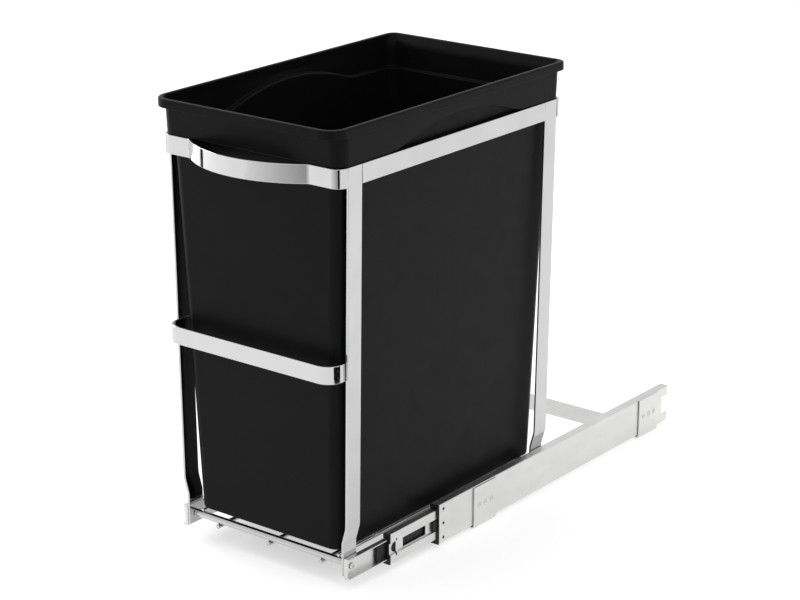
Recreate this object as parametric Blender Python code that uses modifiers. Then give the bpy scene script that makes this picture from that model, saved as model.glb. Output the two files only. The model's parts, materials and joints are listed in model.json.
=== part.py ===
"""Pull-out kitchen bin: a plastic bucket hanging in a chromed strap frame on two telescopic slides.

Units are metres. +Z is up, the front (handle side) faces -Y and +X is the right-hand side seen
from the front. The origin is the centre of the front floor plate's underside, so z = 0 is the
cabinet floor. The model stands partly pulled out of its cabinet.
"""
import math

import bmesh
import bpy
from mathutils import Matrix, Vector

# ---- driving dimensions ---------------------------------------------------------------------
GAP = 0.0003                     # clearance between pieces that touch
RIGHT, LEFT = 1, -1
SIDES = ((LEFT, "left"), (RIGHT, "right"))

SLIDE_LENGTH = 0.457             # an 18 inch slide
SLIDE_MID_Z = 0.0258             # height of the slides' centre line
CABINET_FRONT = -0.0804          # front end of the fixed slide members
PULLED_OUT = 0.147               # how far the frame is pulled out as modelled
FRAME_FRONT = CABINET_FRONT - PULLED_OUT

PLATE_WIDTH = 0.040
PLATE_THICKNESS = 0.0018
PLATE_SPACING = 0.3317           # front plate centre to rear plate centre
EAR_X = 0.1210
EAR_TOP = 0.0480
PLATE_BEND = 0.0035
PLATE_HOLE_X = 0.070
PLATE_HOLE_DIAMETER = 0.0052
CLINCH_DIAMETER = 0.0046
CLINCH_DEPTH = 0.0007
CLINCH_PITCH = 0.0111

SHEET = 0.0012                   # steel thickness of the three slide members
CABINET_HEIGHT, CABINET_WEB_X, CABINET_LIP_X = 0.0450, 0.1189, 0.1078
CABINET_LIP = 0.0028
INTERMEDIATE_HEIGHT, INTERMEDIATE_WEB_X, INTERMEDIATE_LIP_X = 0.0340, 0.1167, 0.1078
INTERMEDIATE_RAIL, INTERMEDIATE_RECESS, INTERMEDIATE_STEP = 0.0100, 0.0020, 0.0008
RECESS_HALF = INTERMEDIATE_HEIGHT / 2 - INTERMEDIATE_RAIL - INTERMEDIATE_STEP - GAP
INTERMEDIATE_FRONT, INTERMEDIATE_LENGTH = -0.1612, 0.4400
DRAWER_HEIGHT, DRAWER_WEB_X, DRAWER_FLANGE_X = 0.0230, 0.1075, 0.1146
DRAWER_LENGTH = 0.4300
DRAWER_BEND = 0.0018
NOSE = 0.0016                    # how thick the plastic stops stand in front of the steel ends
TAB_INSET = 0.0003               # how far a drawer member's end tab stands inside its outline
TAB_NOTCH_X, TAB_NOTCH_HALF = 0.1119, 0.0092

BALL_DIAMETER, BALL_PITCH, BALL_COUNT = 0.0040, 0.0500, 4
BALL_X = 0.1115
CAGE_THICKNESS = 0.0004
CAGE_LENGTH = 0.1800
OUTER_CAGE_Y, INNER_CAGE_Y = 0.0095, -0.0675

STRAP = 0.0025                   # chromed strap thickness
RING_TOP, RING_BOTTOM = 0.4502, 0.4303
RING_X = 0.1180
RING_REAR_Y, RING_REAR_RADIUS = 0.1372, 0.0100
POST_WIDTH = 0.0213
POST_REAR_Y = 0.1053
POST_TOP_X, POST_BEND_X, POST_FOOT_X = 0.1179, 0.1124, DRAWER_WEB_X - GAP
POST_BEND_Z, POST_FOOT_Z, POST_BOTTOM_Z = 0.0700, 0.0520, 0.0170
POST_BEND_RADIUS, POST_FOOT_RADIUS = 0.0300, 0.0120
HANDLE_Y, HANDLE_CORNER_RADIUS = -0.2402, 0.0124
HANDLE_FLAT_X, HANDLE_BOW_RADIUS, HANDLE_KINK_RADIUS = 0.0780, 0.1275, 0.0070
GUARD_X, GUARD_Y, GUARD_RADIUS = 0.1119, -0.2494, 0.0175
GUARD_BOTTOM, GUARD_TOP = 0.2307, 0.2496
GUARD_END_SETBACK = 0.0010       # how far its ends stop short of the posts' rear edges

ROD_DIAMETER, ROD_Z = 0.0080, 0.0280
ROD_HALF_LENGTH = POST_FOOT_X - STRAP - GAP
ROD_Y_IN_POST = 0.0102
LONG_WIRE_DIAMETER = 0.0050
LONG_WIRE_Z = ROD_Z - ROD_DIAMETER / 2 - GAP - LONG_WIRE_DIAMETER / 2
LONG_WIRE_X = (-0.071, 0.0, 0.071)
LONG_WIRE_OVERHANG = 0.0040
SIDE_WIRE_X, SIDE_WIRE_DIAMETER = 0.0935, 0.0036
SIDE_WIRE_Z = ROD_Z + ROD_DIAMETER / 2 + GAP + SIDE_WIRE_DIAMETER / 2
SIDE_WIRE_OVERHANG = 0.0020
CROSS_WIRE_Y, CROSS_WIRE_DIAMETER = (-0.1600, 0.0, 0.0750), 0.0024
CROSS_WIRE_Z = SIDE_WIRE_Z + SIDE_WIRE_DIAMETER / 2 + GAP + CROSS_WIRE_DIAMETER / 2
CROSS_WIRE_HALF_LENGTH = 0.0970

SCREW_Y_IN_POST = 0.0112
SCREW_HEAD_DIAMETER, SCREW_HEAD_HEIGHT = 0.0070, 0.0019
SCREW_SHANK_DIAMETER, SCREW_HOLE_DIAMETER = 0.0040, 0.0046
SCREW_TIP_X = POST_FOOT_X - STRAP + GAP

WALL = 0.0025                    # bucket wall
RIM_TOP, SKIRT_BOTTOM = 0.4899, 0.4805
SHOULDER_Z = RING_TOP + GAP
BASE_Z = CROSS_WIRE_Z + CROSS_WIRE_DIAMETER / 2 + GAP
# outlines seen from above: half width, front, rear, front corner radius, rear corner radius
RIM = (0.1200, -0.2515, 0.1437, 0.0205, 0.0125)
COLLAR_TOP = (0.1176, -0.2402, 0.1362, 0.0150, 0.0130)
COLLAR_BOTTOM = (0.1167, -0.2390, 0.1352, 0.0145, 0.0125)
BODY_TOP = (0.1108, -0.2330, 0.1293, 0.0130, 0.0130)
BODY_BOTTOM = (0.0965, -0.2215, 0.1225, 0.0140, 0.0140)
FOOT_RADIUS = 0.0020
GRIP_RADIUS, GRIP_TOP_Z, GRIP_MID_Y = 0.2540, 0.4712, -0.0450
GRIP_BLEND = 0.0040

CORNER_STEPS = 6
SIDE_STEPS = 36                  # divisions of the bucket's long sides
ROUND_SEGMENTS = 24


# ---- materials -------------------------------------------------------------------------------
def make_material(name, colour, roughness, metallic):
    material = bpy.data.materials.new(name)
    material.use_nodes = True
    shader = material.node_tree.nodes["Principled BSDF"]
    shader.inputs["Base Color"].default_value = (*colour, 1.0)
    shader.inputs["Roughness"].default_value = roughness
    shader.inputs["Metallic"].default_value = metallic
    return material


def plastic(name):
    return make_material(name, (0.012, 0.012, 0.013), 0.42, 0.0)


def nose_plastic(name):
    return make_material(name, (0.006, 0.006, 0.006), 0.55, 0.0)


def chrome(name):
    return make_material(name, (0.82, 0.82, 0.82), 0.08, 1.0)


def zinc(name):
    return make_material(name, (0.70, 0.70, 0.69), 0.32, 1.0)


# ---- scene helpers ---------------------------------------------------------------------------
def clear_scene():
    for item in list(bpy.data.objects):
        bpy.data.objects.remove(item, do_unlink=True)


def new_collection(name):
    collection = bpy.data.collections.new(name)
    bpy.context.scene.collection.children.link(collection)
    return collection


def new_empty(name, location):
    empty = bpy.data.objects.new(name, None)
    empty.location = location
    PARTS.objects.link(empty)
    return empty


def add_part(name, mesh, finish, carrier=None):
    """Put a mesh in the parts collection, with its own material and its parent empty."""
    mesh.materials.clear()
    mesh.materials.append(finish(name))
    mesh.name = name
    piece = bpy.data.objects.new(name, mesh)
    PARTS.objects.link(piece)
    if carrier is not None:
        piece.parent = carrier
        piece.matrix_parent_inverse = Matrix.Translation(carrier.location).inverted()
    return piece


def add_cutter(name, mesh):
    cutter = bpy.data.objects.new(name, mesh)
    cutter.hide_render = True
    cutter.display_type = "WIRE"
    CUTTERS.objects.link(cutter)
    return cutter


def combine(piece, tool, operation):
    modifier = piece.modifiers.new(tool.name, "BOOLEAN")
    modifier.operation = operation
    modifier.solver = "EXACT"
    modifier.object = tool


def cut(piece, mesh):
    combine(piece, add_cutter(f"{piece.name}_cutter", mesh), "DIFFERENCE")


def smooth(mesh, angle=math.radians(35)):
    mesh.shade_smooth()
    mesh.set_sharp_from_angle(angle=angle)


# ---- shapes ----------------------------------------------------------------------------------
def mesh_from(name, build):
    bm = bmesh.new()
    build(bm)
    bmesh.ops.recalc_face_normals(bm, faces=bm.faces)
    mesh = bpy.data.meshes.new(name)
    bm.to_mesh(mesh)
    bm.free()
    return mesh


def box(name, low, high):
    size = [h - l for l, h in zip(low, high)]
    middle = [(l + h) / 2 for l, h in zip(low, high)]
    matrix = Matrix.Translation(middle) @ Matrix.Diagonal((*size, 1.0))
    return mesh_from(name, lambda bm: bmesh.ops.create_cube(bm, size=1.0, matrix=matrix))


def cylinder(name, start, end, diameter, segments=ROUND_SEGMENTS):
    start, end = Vector(start), Vector(end)
    turn = (end - start).to_track_quat("Z", "Y").to_matrix().to_4x4()
    matrix = Matrix.Translation((start + end) / 2) @ turn

    def build(bm):
        bmesh.ops.create_cone(bm, cap_ends=True, segments=segments, radius1=diameter / 2,
                              radius2=diameter / 2, depth=(end - start).length, matrix=matrix)

    mesh = mesh_from(name, build)
    smooth(mesh)
    return mesh


def spheres(name, centres, diameter, segments=8, rings=6):
    def build(bm):
        for centre in centres:
            bmesh.ops.create_uvsphere(bm, u_segments=segments, v_segments=rings,
                                      radius=diameter / 2, matrix=Matrix.Translation(centre))

    return mesh_from(name, build)


def place(axis, flat, along):
    """A 3D point from a point in the plane across an axis and a distance along that axis."""
    a, b = flat
    return {"X": (along, a, b), "Y": (a, along, b), "Z": (a, b, along)}[axis]


def prism(name, outline, axis, low, high):
    """A closed outline pulled straight along an axis."""
    def build(bm):
        face = bm.faces.new([bm.verts.new(place(axis, point, low)) for point in outline])
        pulled = bmesh.ops.extrude_face_region(bm, geom=[face])["geom"]
        verts = [item for item in pulled if isinstance(item, bmesh.types.BMVert)]
        bmesh.ops.translate(bm, verts=verts, vec=place(axis, (0.0, 0.0), high - low))

    return mesh_from(name, build)


def rounded(points, radii, steps=CORNER_STEPS):
    """An open polyline with its inner corners turned into arcs; a radius of 0 keeps a corner."""
    path = [Vector(points[0])]
    for before, corner, after, radius in zip(points, points[1:], points[2:], radii):
        before, corner, after = Vector(before), Vector(corner), Vector(after)
        if radius == 0.0:
            path.append(corner)
            continue
        back, ahead = (before - corner).normalized(), (after - corner).normalized()
        half = back.angle(ahead) / 2
        centre = corner + (back + ahead).normalized() * radius / math.sin(half)
        start = corner + back * radius / math.tan(half) - centre
        end = corner + ahead * radius / math.tan(half) - centre
        sweep = start.angle_signed(end)
        path += [centre + Matrix.Rotation(-sweep * i / steps, 2) @ start for i in range(steps + 1)]
    path.append(Vector(points[-1]))
    return path


def mirrored(path):
    """The same path on the other side of the object, walked so that it keeps its outer face."""
    return [Vector((-point[0], point[1])) for point in reversed(path)]


def ribbon(name, path, axis, low, high, thickness, finish, carrier=None):
    """A strip of sheet: its outer face follows the path, its thickness goes inward."""
    bm = bmesh.new()
    rows = [[bm.verts.new(place(axis, point, along)) for point in path] for along in (low, high)]
    for i in range(len(path) - 1):
        bm.faces.new((rows[0][i], rows[0][i + 1], rows[1][i + 1], rows[1][i]))
    mesh = bpy.data.meshes.new(name)
    bm.to_mesh(mesh)
    bm.free()
    piece = add_part(name, mesh, finish, carrier)
    shell = piece.modifiers.new("thickness", "SOLIDIFY")
    shell.thickness = thickness
    shell.offset = -1.0
    shell.use_even_offset = True
    return piece


def for_side(side, path):
    return path if side == RIGHT else mirrored(path)


def sided(side, x_low, x_high):
    """The low and high x of a span on the right, carried to the wanted side."""
    return sorted((side * x_low, side * x_high))


# ---- floor plates ----------------------------------------------------------------------------
def add_floor_plate(name, mid_y):
    path = [(-EAR_X, EAR_TOP), (-EAR_X, 0.0), (EAR_X, 0.0), (EAR_X, EAR_TOP)]
    low, high = mid_y - PLATE_WIDTH / 2, mid_y + PLATE_WIDTH / 2
    plate = ribbon(name, rounded(path, (PLATE_BEND, PLATE_BEND)), "Y", low, high,
                   PLATE_THICKNESS, zinc)
    # The path runs anticlockwise seen from the front, so it is turned to keep its face outward.
    plate.data.flip_normals()
    for side in (LEFT, RIGHT):
        x = side * PLATE_HOLE_X
        cut(plate, cylinder("screw_hole", (x, mid_y, -0.01), (x, mid_y, 0.01), PLATE_HOLE_DIAMETER))
        sunk = [(side * (EAR_X + CLINCH_DIAMETER / 2 - CLINCH_DEPTH), mid_y + i * CLINCH_PITCH,
                 SLIDE_MID_Z) for i in (-1, 0, 1)]
        cut(plate, spheres("clinch", sunk, CLINCH_DIAMETER))


# ---- slides ----------------------------------------------------------------------------------
def channel_path(height, web_x, lip_x, lip, bend):
    """A channel open towards the bin, from its upper lip round its web to its lower lip."""
    top, bottom = SLIDE_MID_Z + height / 2, SLIDE_MID_Z - height / 2
    path = [(lip_x, top - lip), (lip_x, top), (web_x, top), (web_x, bottom), (lip_x, bottom),
            (lip_x, bottom + lip)]
    return rounded(path, (bend,) * 4, 3)


def add_cabinet_member(side, word):
    path = channel_path(CABINET_HEIGHT, CABINET_WEB_X, CABINET_LIP_X, CABINET_LIP, 0.0016)
    rear = CABINET_FRONT + SLIDE_LENGTH
    member = ribbon(f"cabinet_member_{word}", for_side(side, path), "Y", CABINET_FRONT, rear,
                    SHEET, zinc)
    inner, outer = sided(side, CABINET_WEB_X - 0.004, CABINET_WEB_X + 0.004)
    cut(member, box("rear_notch", (inner, rear - 0.0125, SLIDE_MID_Z - 0.0108),
                    (outer, rear + 0.01, SLIDE_MID_Z + 0.0108)))
    for z in (-0.0165, 0.0, 0.0165):
        height = SLIDE_MID_Z + z
        y = CABINET_FRONT + 0.0072
        cut(member, cylinder("hole", (inner, y, height), (outer, y, height), 0.0036, 12))


def cabinet_stop_outline(margin):
    """Section of the fixed member's stop, which fills both ball gaps and the recess."""
    lip_x, web_out = CABINET_LIP_X + margin, CABINET_WEB_X - margin
    outer_top = SLIDE_MID_Z + CABINET_HEIGHT / 2 - margin
    inner_top = SLIDE_MID_Z + INTERMEDIATE_HEIGHT / 2 + GAP
    web_in = INTERMEDIATE_WEB_X + GAP
    recess_in = INTERMEDIATE_WEB_X - INTERMEDIATE_RECESS + GAP
    half = [(lip_x, outer_top), (web_out, outer_top)]
    inside = [(web_in, SLIDE_MID_Z + RECESS_HALF), (web_in, inner_top), (lip_x, inner_top)]
    nose = [(recess_in, SLIDE_MID_Z - RECESS_HALF), (recess_in, SLIDE_MID_Z + RECESS_HALF)]
    flip = [(x, 2 * SLIDE_MID_Z - z) for x, z in reversed(half)]
    inside_low = [(x, 2 * SLIDE_MID_Z - z) for x, z in reversed(inside)]
    return half + flip + inside_low + nose + inside


def nosed_stop(name, side, inside, cap, front, depth, carrier=None):
    """A stop inside a steel member's mouth, with a cap that covers the member's end."""
    cap_back = front - GAP
    stop = prism("stop", [(side * x, z) for x, z in inside], "Y", cap_back - NOSE / 2,
                 front + depth)
    piece = add_part(name, stop, nose_plastic, carrier)
    plate = prism("cap", [(side * x, z) for x, z in cap], "Y", cap_back - NOSE, cap_back)
    combine(piece, add_cutter("cap", plate), "UNION")
    return piece


def add_cabinet_stop(side, word):
    """The stop, with the short tongue that shows in front of the fixed member."""
    piece = nosed_stop(f"cabinet_stop_{word}", side, cabinet_stop_outline(SHEET + GAP),
                       cabinet_stop_outline(0.0), CABINET_FRONT, 0.0105)
    low_x, high_x = sided(side, INTERMEDIATE_WEB_X - INTERMEDIATE_RECESS + GAP,
                          CABINET_WEB_X - SHEET - GAP)
    tongue = box("tongue", (low_x, CABINET_FRONT - 0.0090, SLIDE_MID_Z - RECESS_HALF),
                 (high_x, CABINET_FRONT + 0.0050, SLIDE_MID_Z + RECESS_HALF))
    combine(piece, add_cutter("tongue", tongue), "UNION")


def add_rear_buffer(side, word):
    """Plastic buffer that closes the rear of the fixed member and stops the other two."""
    rear = CABINET_FRONT + SLIDE_LENGTH
    half = CABINET_HEIGHT / 2 - SHEET - GAP
    low_x, high_x = sided(side, CABINET_LIP_X + SHEET + GAP, CABINET_WEB_X - SHEET - GAP)
    add_part(f"rear_buffer_{word}",
             box("buffer", (low_x, rear - 0.0226, SLIDE_MID_Z - half),
                 (high_x, rear - 0.0120, SLIDE_MID_Z + half)), nose_plastic)


def intermediate_path():
    half = INTERMEDIATE_HEIGHT / 2
    rail = half - INTERMEDIATE_RAIL
    deep = INTERMEDIATE_WEB_X - INTERMEDIATE_RECESS
    upper = [(INTERMEDIATE_LIP_X, half), (INTERMEDIATE_WEB_X, half),
             (INTERMEDIATE_WEB_X, rail), (deep, rail - INTERMEDIATE_STEP)]
    lower = [(x, -z) for x, z in reversed(upper)]
    return [(x, SLIDE_MID_Z + z) for x, z in upper + lower]


def add_intermediate_member(side, word, carrier):
    bends = (0.0014, 0.0, 0.0, 0.0, 0.0, 0.0014)
    path = rounded(intermediate_path(), bends, 2)
    member = ribbon(f"intermediate_member_{word}", for_side(side, path), "Y", INTERMEDIATE_FRONT,
                    INTERMEDIATE_FRONT + INTERMEDIATE_LENGTH, SHEET, zinc, carrier)
    inner, outer = sided(side, INTERMEDIATE_WEB_X - 0.0045, INTERMEDIATE_WEB_X + 0.0045)
    cut(member, box("window", (inner, INTERMEDIATE_FRONT + 0.0228, SLIDE_MID_Z - 0.0053),
                    (outer, INTERMEDIATE_FRONT + 0.0618, SLIDE_MID_Z + 0.0053)))
    slot_y = INTERMEDIATE_FRONT + 0.0108
    cut(member, box("catch_slot", (inner, slot_y - 0.0024, SLIDE_MID_Z - 0.0098),
                    (outer, slot_y, SLIDE_MID_Z + 0.0098)))
    arc = [math.radians(90 + 180 * i / 10) for i in range(11)]
    dee = [(slot_y - 0.0005 + 0.0075 * math.cos(a), SLIDE_MID_Z + 0.0058 * math.sin(a)) for a in arc]
    cut(member, prism("catch_opening", dee, "X", inner, outer))


def intermediate_stop_outline(margin):
    """Section of the middle member's stop, which fills both ball gaps round the drawer member."""
    lip_x, web_out = INTERMEDIATE_LIP_X + GAP, INTERMEDIATE_WEB_X - margin
    top_out, top_in = INTERMEDIATE_HEIGHT / 2 - margin, DRAWER_HEIGHT / 2 + GAP
    rail = INTERMEDIATE_HEIGHT / 2 - INTERMEDIATE_RAIL
    step_z = rail + (0.0011 if margin else 0.0)
    web_in, deep_out = DRAWER_FLANGE_X + GAP, web_out - INTERMEDIATE_RECESS
    deep_in = INTERMEDIATE_WEB_X - INTERMEDIATE_RECESS - SHEET - GAP - 0.0009
    upper = [(lip_x, top_in), (lip_x, top_out), (web_out, top_out), (web_out, step_z),
             (deep_out, step_z - INTERMEDIATE_STEP)]
    lower = [(x, -z) for x, z in reversed(upper)]
    inner_low = [(web_in, -top_in), (web_in, -rail - 0.0016), (deep_in, -rail - 0.0006)]
    inner_high = [(x, -z) for x, z in reversed(inner_low)]
    return [(x, SLIDE_MID_Z + z) for x, z in upper + lower + inner_low + inner_high]


def add_intermediate_stop(side, word, carrier):
    nosed_stop(f"intermediate_stop_{word}", side, intermediate_stop_outline(SHEET + GAP),
               intermediate_stop_outline(0.0), INTERMEDIATE_FRONT, 0.0110, carrier)


def drawer_path(inset):
    """Outer face of the drawer member, or its outline drawn in by an inset."""
    half = DRAWER_HEIGHT / 2 - inset
    top, bottom = SLIDE_MID_Z + half, SLIDE_MID_Z - half
    web_x, flange_x = DRAWER_WEB_X + inset, DRAWER_FLANGE_X - inset
    path = [(flange_x, bottom), (web_x, bottom), (web_x, top), (flange_x, top)]
    return rounded(path, (DRAWER_BEND - inset,) * 2, 3)


def tab_outline():
    """The drawer member's outline, notched to pass the middle member's recess."""
    edge = DRAWER_FLANGE_X - TAB_INSET
    high, low = SLIDE_MID_Z + TAB_NOTCH_HALF, SLIDE_MID_Z - TAB_NOTCH_HALF
    notch = [(edge, high), (TAB_NOTCH_X, high), (TAB_NOTCH_X, low), (edge, low)]
    return drawer_path(TAB_INSET) + notch


def add_drawer_member(side, word, carrier):
    """A channel open towards the cabinet, closed at the front by a tab."""
    member = ribbon(f"drawer_member_{word}", for_side(side, drawer_path(0.0)), "Y", FRAME_FRONT,
                    FRAME_FRONT + DRAWER_LENGTH, SHEET, zinc, carrier)
    tab_y = FRAME_FRONT + TAB_INSET
    tab = prism("end_tab", for_side(side, tab_outline()), "Y", tab_y, tab_y + SHEET)
    combine(member, add_cutter("end_tab", tab), "UNION")
    for post_y in (FRAME_FRONT, POST_REAR_Y):
        cut(member, screw_hole(side, post_y))


def add_guide_block(side, word, carrier):
    """Plastic block that fills the drawer member's channel behind its front screw."""
    half = DRAWER_HEIGHT / 2 - SHEET - GAP
    low_x, high_x = sided(side, DRAWER_WEB_X + SHEET + GAP, 0.1118)
    add_part(f"guide_block_{word}",
             box("block", (low_x, FRAME_FRONT + 0.0495, SLIDE_MID_Z - half),
                 (high_x, FRAME_FRONT + 0.1400, SLIDE_MID_Z + half)), nose_plastic, carrier)


def cage_centres(side, front, height):
    first = front + (CAGE_LENGTH - (BALL_COUNT - 1) * BALL_PITCH) / 2
    return [(side * BALL_X, first + i * BALL_PITCH, SLIDE_MID_Z + sign * height)
            for i in range(BALL_COUNT) for sign in (-1, 1)]


def add_cage(name, side, half_path, front, ball_height, carrier):
    """A ball cage: a thin channel with a row of balls in each of its two edges."""
    lower = [(x, -z) for x, z in reversed(half_path)]
    path = [Vector((x, SLIDE_MID_Z + z)) for x, z in half_path + lower]
    cage = ribbon(name, for_side(side, path), "Y", front, front + CAGE_LENGTH, CAGE_THICKNESS,
                  zinc, carrier)
    balls = add_cutter("balls", spheres("balls", cage_centres(side, front, ball_height),
                                        BALL_DIAMETER))
    combine(cage, balls, "UNION")


def add_outer_cage(side, word, carrier):
    raceway = (CABINET_HEIGHT / 2 - SHEET + INTERMEDIATE_HEIGHT / 2) / 2
    web_x = (CABINET_WEB_X - SHEET + INTERMEDIATE_WEB_X) / 2 + CAGE_THICKNESS / 2
    path = [(0.1095, raceway + CAGE_THICKNESS / 2), (web_x, raceway + CAGE_THICKNESS / 2)]
    add_cage(f"outer_ball_cage_{word}", side, path, OUTER_CAGE_Y, raceway, carrier)


def add_inner_cage(side, word, carrier):
    raceway = (INTERMEDIATE_HEIGHT / 2 - SHEET + DRAWER_HEIGHT / 2) / 2
    rail = INTERMEDIATE_HEIGHT / 2 - INTERMEDIATE_RAIL
    web_x = INTERMEDIATE_WEB_X - SHEET - 0.0003
    deep_x = web_x - INTERMEDIATE_RECESS
    path = [(0.1095, raceway + CAGE_THICKNESS / 2), (web_x, raceway + CAGE_THICKNESS / 2),
            (web_x, rail + 0.0011), (deep_x, rail + 0.0003)]
    add_cage(f"inner_ball_cage_{word}", side, path, INNER_CAGE_Y, raceway, carrier)


# ---- strap frame -----------------------------------------------------------------------------
def post_path():
    """Outer face of a post from its foot to its top."""
    points = [(POST_FOOT_X, POST_BOTTOM_Z), (POST_FOOT_X, POST_FOOT_Z),
              (POST_BEND_X, POST_BEND_Z), (POST_TOP_X, RING_TOP)]
    return list(reversed(rounded(points, (POST_FOOT_RADIUS, POST_BEND_RADIUS))))


def screw_hole(side, post_y):
    y = post_y + SCREW_Y_IN_POST
    return cylinder("screw_hole", (side * 0.100, y, SLIDE_MID_Z), (side * 0.112, y, SLIDE_MID_Z),
                    SCREW_HOLE_DIAMETER, 16)


def add_posts(carrier):
    for place_word, y in (("front", FRAME_FRONT), ("rear", POST_REAR_Y)):
        for side, word in SIDES:
            post = ribbon(f"{place_word}_post_{word}", for_side(side, post_path()), "Y", y,
                          y + POST_WIDTH, STRAP, chrome, carrier)
            cut(post, screw_hole(side, y))


def bow_points():
    """Outer face of the bowed grip, left to right, with a fillet where it leaves each flat."""
    bow_y = HANDLE_Y + math.sqrt(HANDLE_BOW_RADIUS ** 2 - HANDLE_FLAT_X ** 2)
    kink_y = HANDLE_Y - HANDLE_KINK_RADIUS
    reach = HANDLE_BOW_RADIUS + HANDLE_KINK_RADIUS
    kink_x = math.sqrt(reach ** 2 - (kink_y - bow_y) ** 2)
    turn = math.asin(kink_x / reach)
    right = []
    for i in range(5):
        a = turn * (1 - i / 4)
        right.append(Vector((kink_x - HANDLE_KINK_RADIUS * math.sin(a),
                             kink_y + HANDLE_KINK_RADIUS * math.cos(a))))
    bow = [Vector((HANDLE_BOW_RADIUS * math.sin(turn * i / 10),
                   bow_y - HANDLE_BOW_RADIUS * math.cos(turn * i / 10))) for i in range(-9, 10)]
    return mirrored(right) + bow + right


def add_front_handle(carrier):
    end_y = FRAME_FRONT - GAP
    left = rounded([(-RING_X, end_y), (-RING_X, HANDLE_Y), (-HANDLE_FLAT_X, HANDLE_Y)],
                   (HANDLE_CORNER_RADIUS,))[:-1]
    path = left + bow_points() + mirrored(left)
    ribbon("front_handle", path, "Z", RING_BOTTOM, RING_TOP, STRAP, chrome, carrier)


def add_top_band(carrier):
    """The rest of the ring: a straight rail between the posts each side, and the rear bend."""
    front_y, rear_y = FRAME_FRONT + POST_WIDTH + GAP, POST_REAR_Y - GAP
    rail = [Vector((RING_X, front_y)), Vector((RING_X, rear_y))]
    for side, word in SIDES:
        ribbon(f"side_rail_{word}", for_side(side, rail), "Z", RING_BOTTOM, RING_TOP, STRAP,
               chrome, carrier)
    start_y = POST_REAR_Y + POST_WIDTH + GAP
    band = [(RING_X, start_y), (RING_X, RING_REAR_Y), (-RING_X, RING_REAR_Y), (-RING_X, start_y)]
    ribbon("rear_band", rounded(band, (RING_REAR_RADIUS,) * 2), "Z", RING_BOTTOM, RING_TOP,
           STRAP, chrome, carrier)


def add_guard_bar(carrier):
    """A bowed-forward bar whose ends lie along the inner faces of the front posts."""
    end_y = FRAME_FRONT + POST_WIDTH - GUARD_END_SETBACK
    bar = [(-GUARD_X, end_y), (-GUARD_X, GUARD_Y), (GUARD_X, GUARD_Y), (GUARD_X, end_y)]
    ribbon("front_guard_bar", rounded(bar, (GUARD_RADIUS,) * 2), "Z", GUARD_BOTTOM, GUARD_TOP,
           STRAP, chrome, carrier)


# ---- wire tray -------------------------------------------------------------------------------
def add_tray(carrier):
    front_y = FRAME_FRONT + ROD_Y_IN_POST
    rear_y = POST_REAR_Y + ROD_Y_IN_POST
    for name, y in (("tray_front_rod", front_y), ("tray_rear_rod", rear_y)):
        add_part(name, cylinder("rod", (-ROD_HALF_LENGTH, y, ROD_Z), (ROD_HALF_LENGTH, y, ROD_Z),
                                ROD_DIAMETER), chrome, carrier)
    for i, x in enumerate(LONG_WIRE_X):
        add_part(f"tray_long_wire_{i + 1}",
                 cylinder("wire", (x, front_y - LONG_WIRE_OVERHANG, LONG_WIRE_Z),
                          (x, rear_y + LONG_WIRE_OVERHANG, LONG_WIRE_Z), LONG_WIRE_DIAMETER),
                 chrome, carrier)
    for side, word in SIDES:
        x = side * SIDE_WIRE_X
        add_part(f"tray_side_wire_{word}",
                 cylinder("wire", (x, front_y - SIDE_WIRE_OVERHANG, SIDE_WIRE_Z),
                          (x, rear_y + SIDE_WIRE_OVERHANG, SIDE_WIRE_Z), SIDE_WIRE_DIAMETER),
                 chrome, carrier)
    for i, y in enumerate(CROSS_WIRE_Y):
        add_part(f"tray_cross_wire_{i + 1}",
                 cylinder("wire", (-CROSS_WIRE_HALF_LENGTH, y, CROSS_WIRE_Z),
                          (CROSS_WIRE_HALF_LENGTH, y, CROSS_WIRE_Z), CROSS_WIRE_DIAMETER),
                 chrome, carrier)


def add_screws(carrier):
    seat = DRAWER_WEB_X + SHEET + GAP
    for place_word, post_y in (("front", FRAME_FRONT), ("rear", POST_REAR_Y)):
        for side, word in SIDES:
            y = post_y + SCREW_Y_IN_POST
            head = cylinder("head", (side * seat, y, SLIDE_MID_Z),
                            (side * (seat + SCREW_HEAD_HEIGHT), y, SLIDE_MID_Z),
                            SCREW_HEAD_DIAMETER)
            screw = add_part(f"{place_word}_foot_screw_{word}", head, zinc, carrier)
            shank = cylinder("shank", (side * SCREW_TIP_X, y, SLIDE_MID_Z),
                             (side * (seat + 0.001), y, SLIDE_MID_Z), SCREW_SHANK_DIAMETER, 16)
            combine(screw, add_cutter("shank", shank), "UNION")


# ---- bucket ----------------------------------------------------------------------------------
def shrunk(outline, inset):
    """The outline set in by the same amount all round."""
    half_width, front, rear, *radii = outline
    return (half_width - inset, front + inset, rear - inset,
            *(max(radius - inset, 0.002) for radius in radii))


def grip_rise(y):
    """How far the shoulder lifts above the ring to make the half-moon grip of a long side."""
    arc = GRIP_TOP_Z - GRIP_RADIUS + math.sqrt(GRIP_RADIUS ** 2 - (y - GRIP_MID_Y) ** 2)
    above = arc - SHOULDER_Z
    return (above + math.hypot(above, GRIP_BLEND)) / 2


def bucket_loop(outline, z, lifted):
    """A rounded rectangle walked anticlockwise seen from above; its long sides may be lifted."""
    x, front, rear, front_radius, rear_radius = outline
    low, high = BODY_BOTTOM[1] + BODY_BOTTOM[3], BODY_BOTTOM[2] - BODY_BOTTOM[4]
    stations = [low + (high - low) * i / SIDE_STEPS for i in range(1, SIDE_STEPS)]

    def corner(centre_y, radius, start):
        turns = [math.radians(start + 90 * i / CORNER_STEPS) for i in range(CORNER_STEPS + 1)]
        return [(x - radius + radius * math.cos(a), centre_y + radius * math.sin(a), z)
                for a in turns]

    right = (corner(front + front_radius, front_radius, -90) +
             [(x, y, z + lifted * grip_rise(y)) for y in stations] +
             corner(rear - rear_radius, rear_radius, 0))
    return right + [(-px, py, pz) for px, py, pz in reversed(right)]


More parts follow.
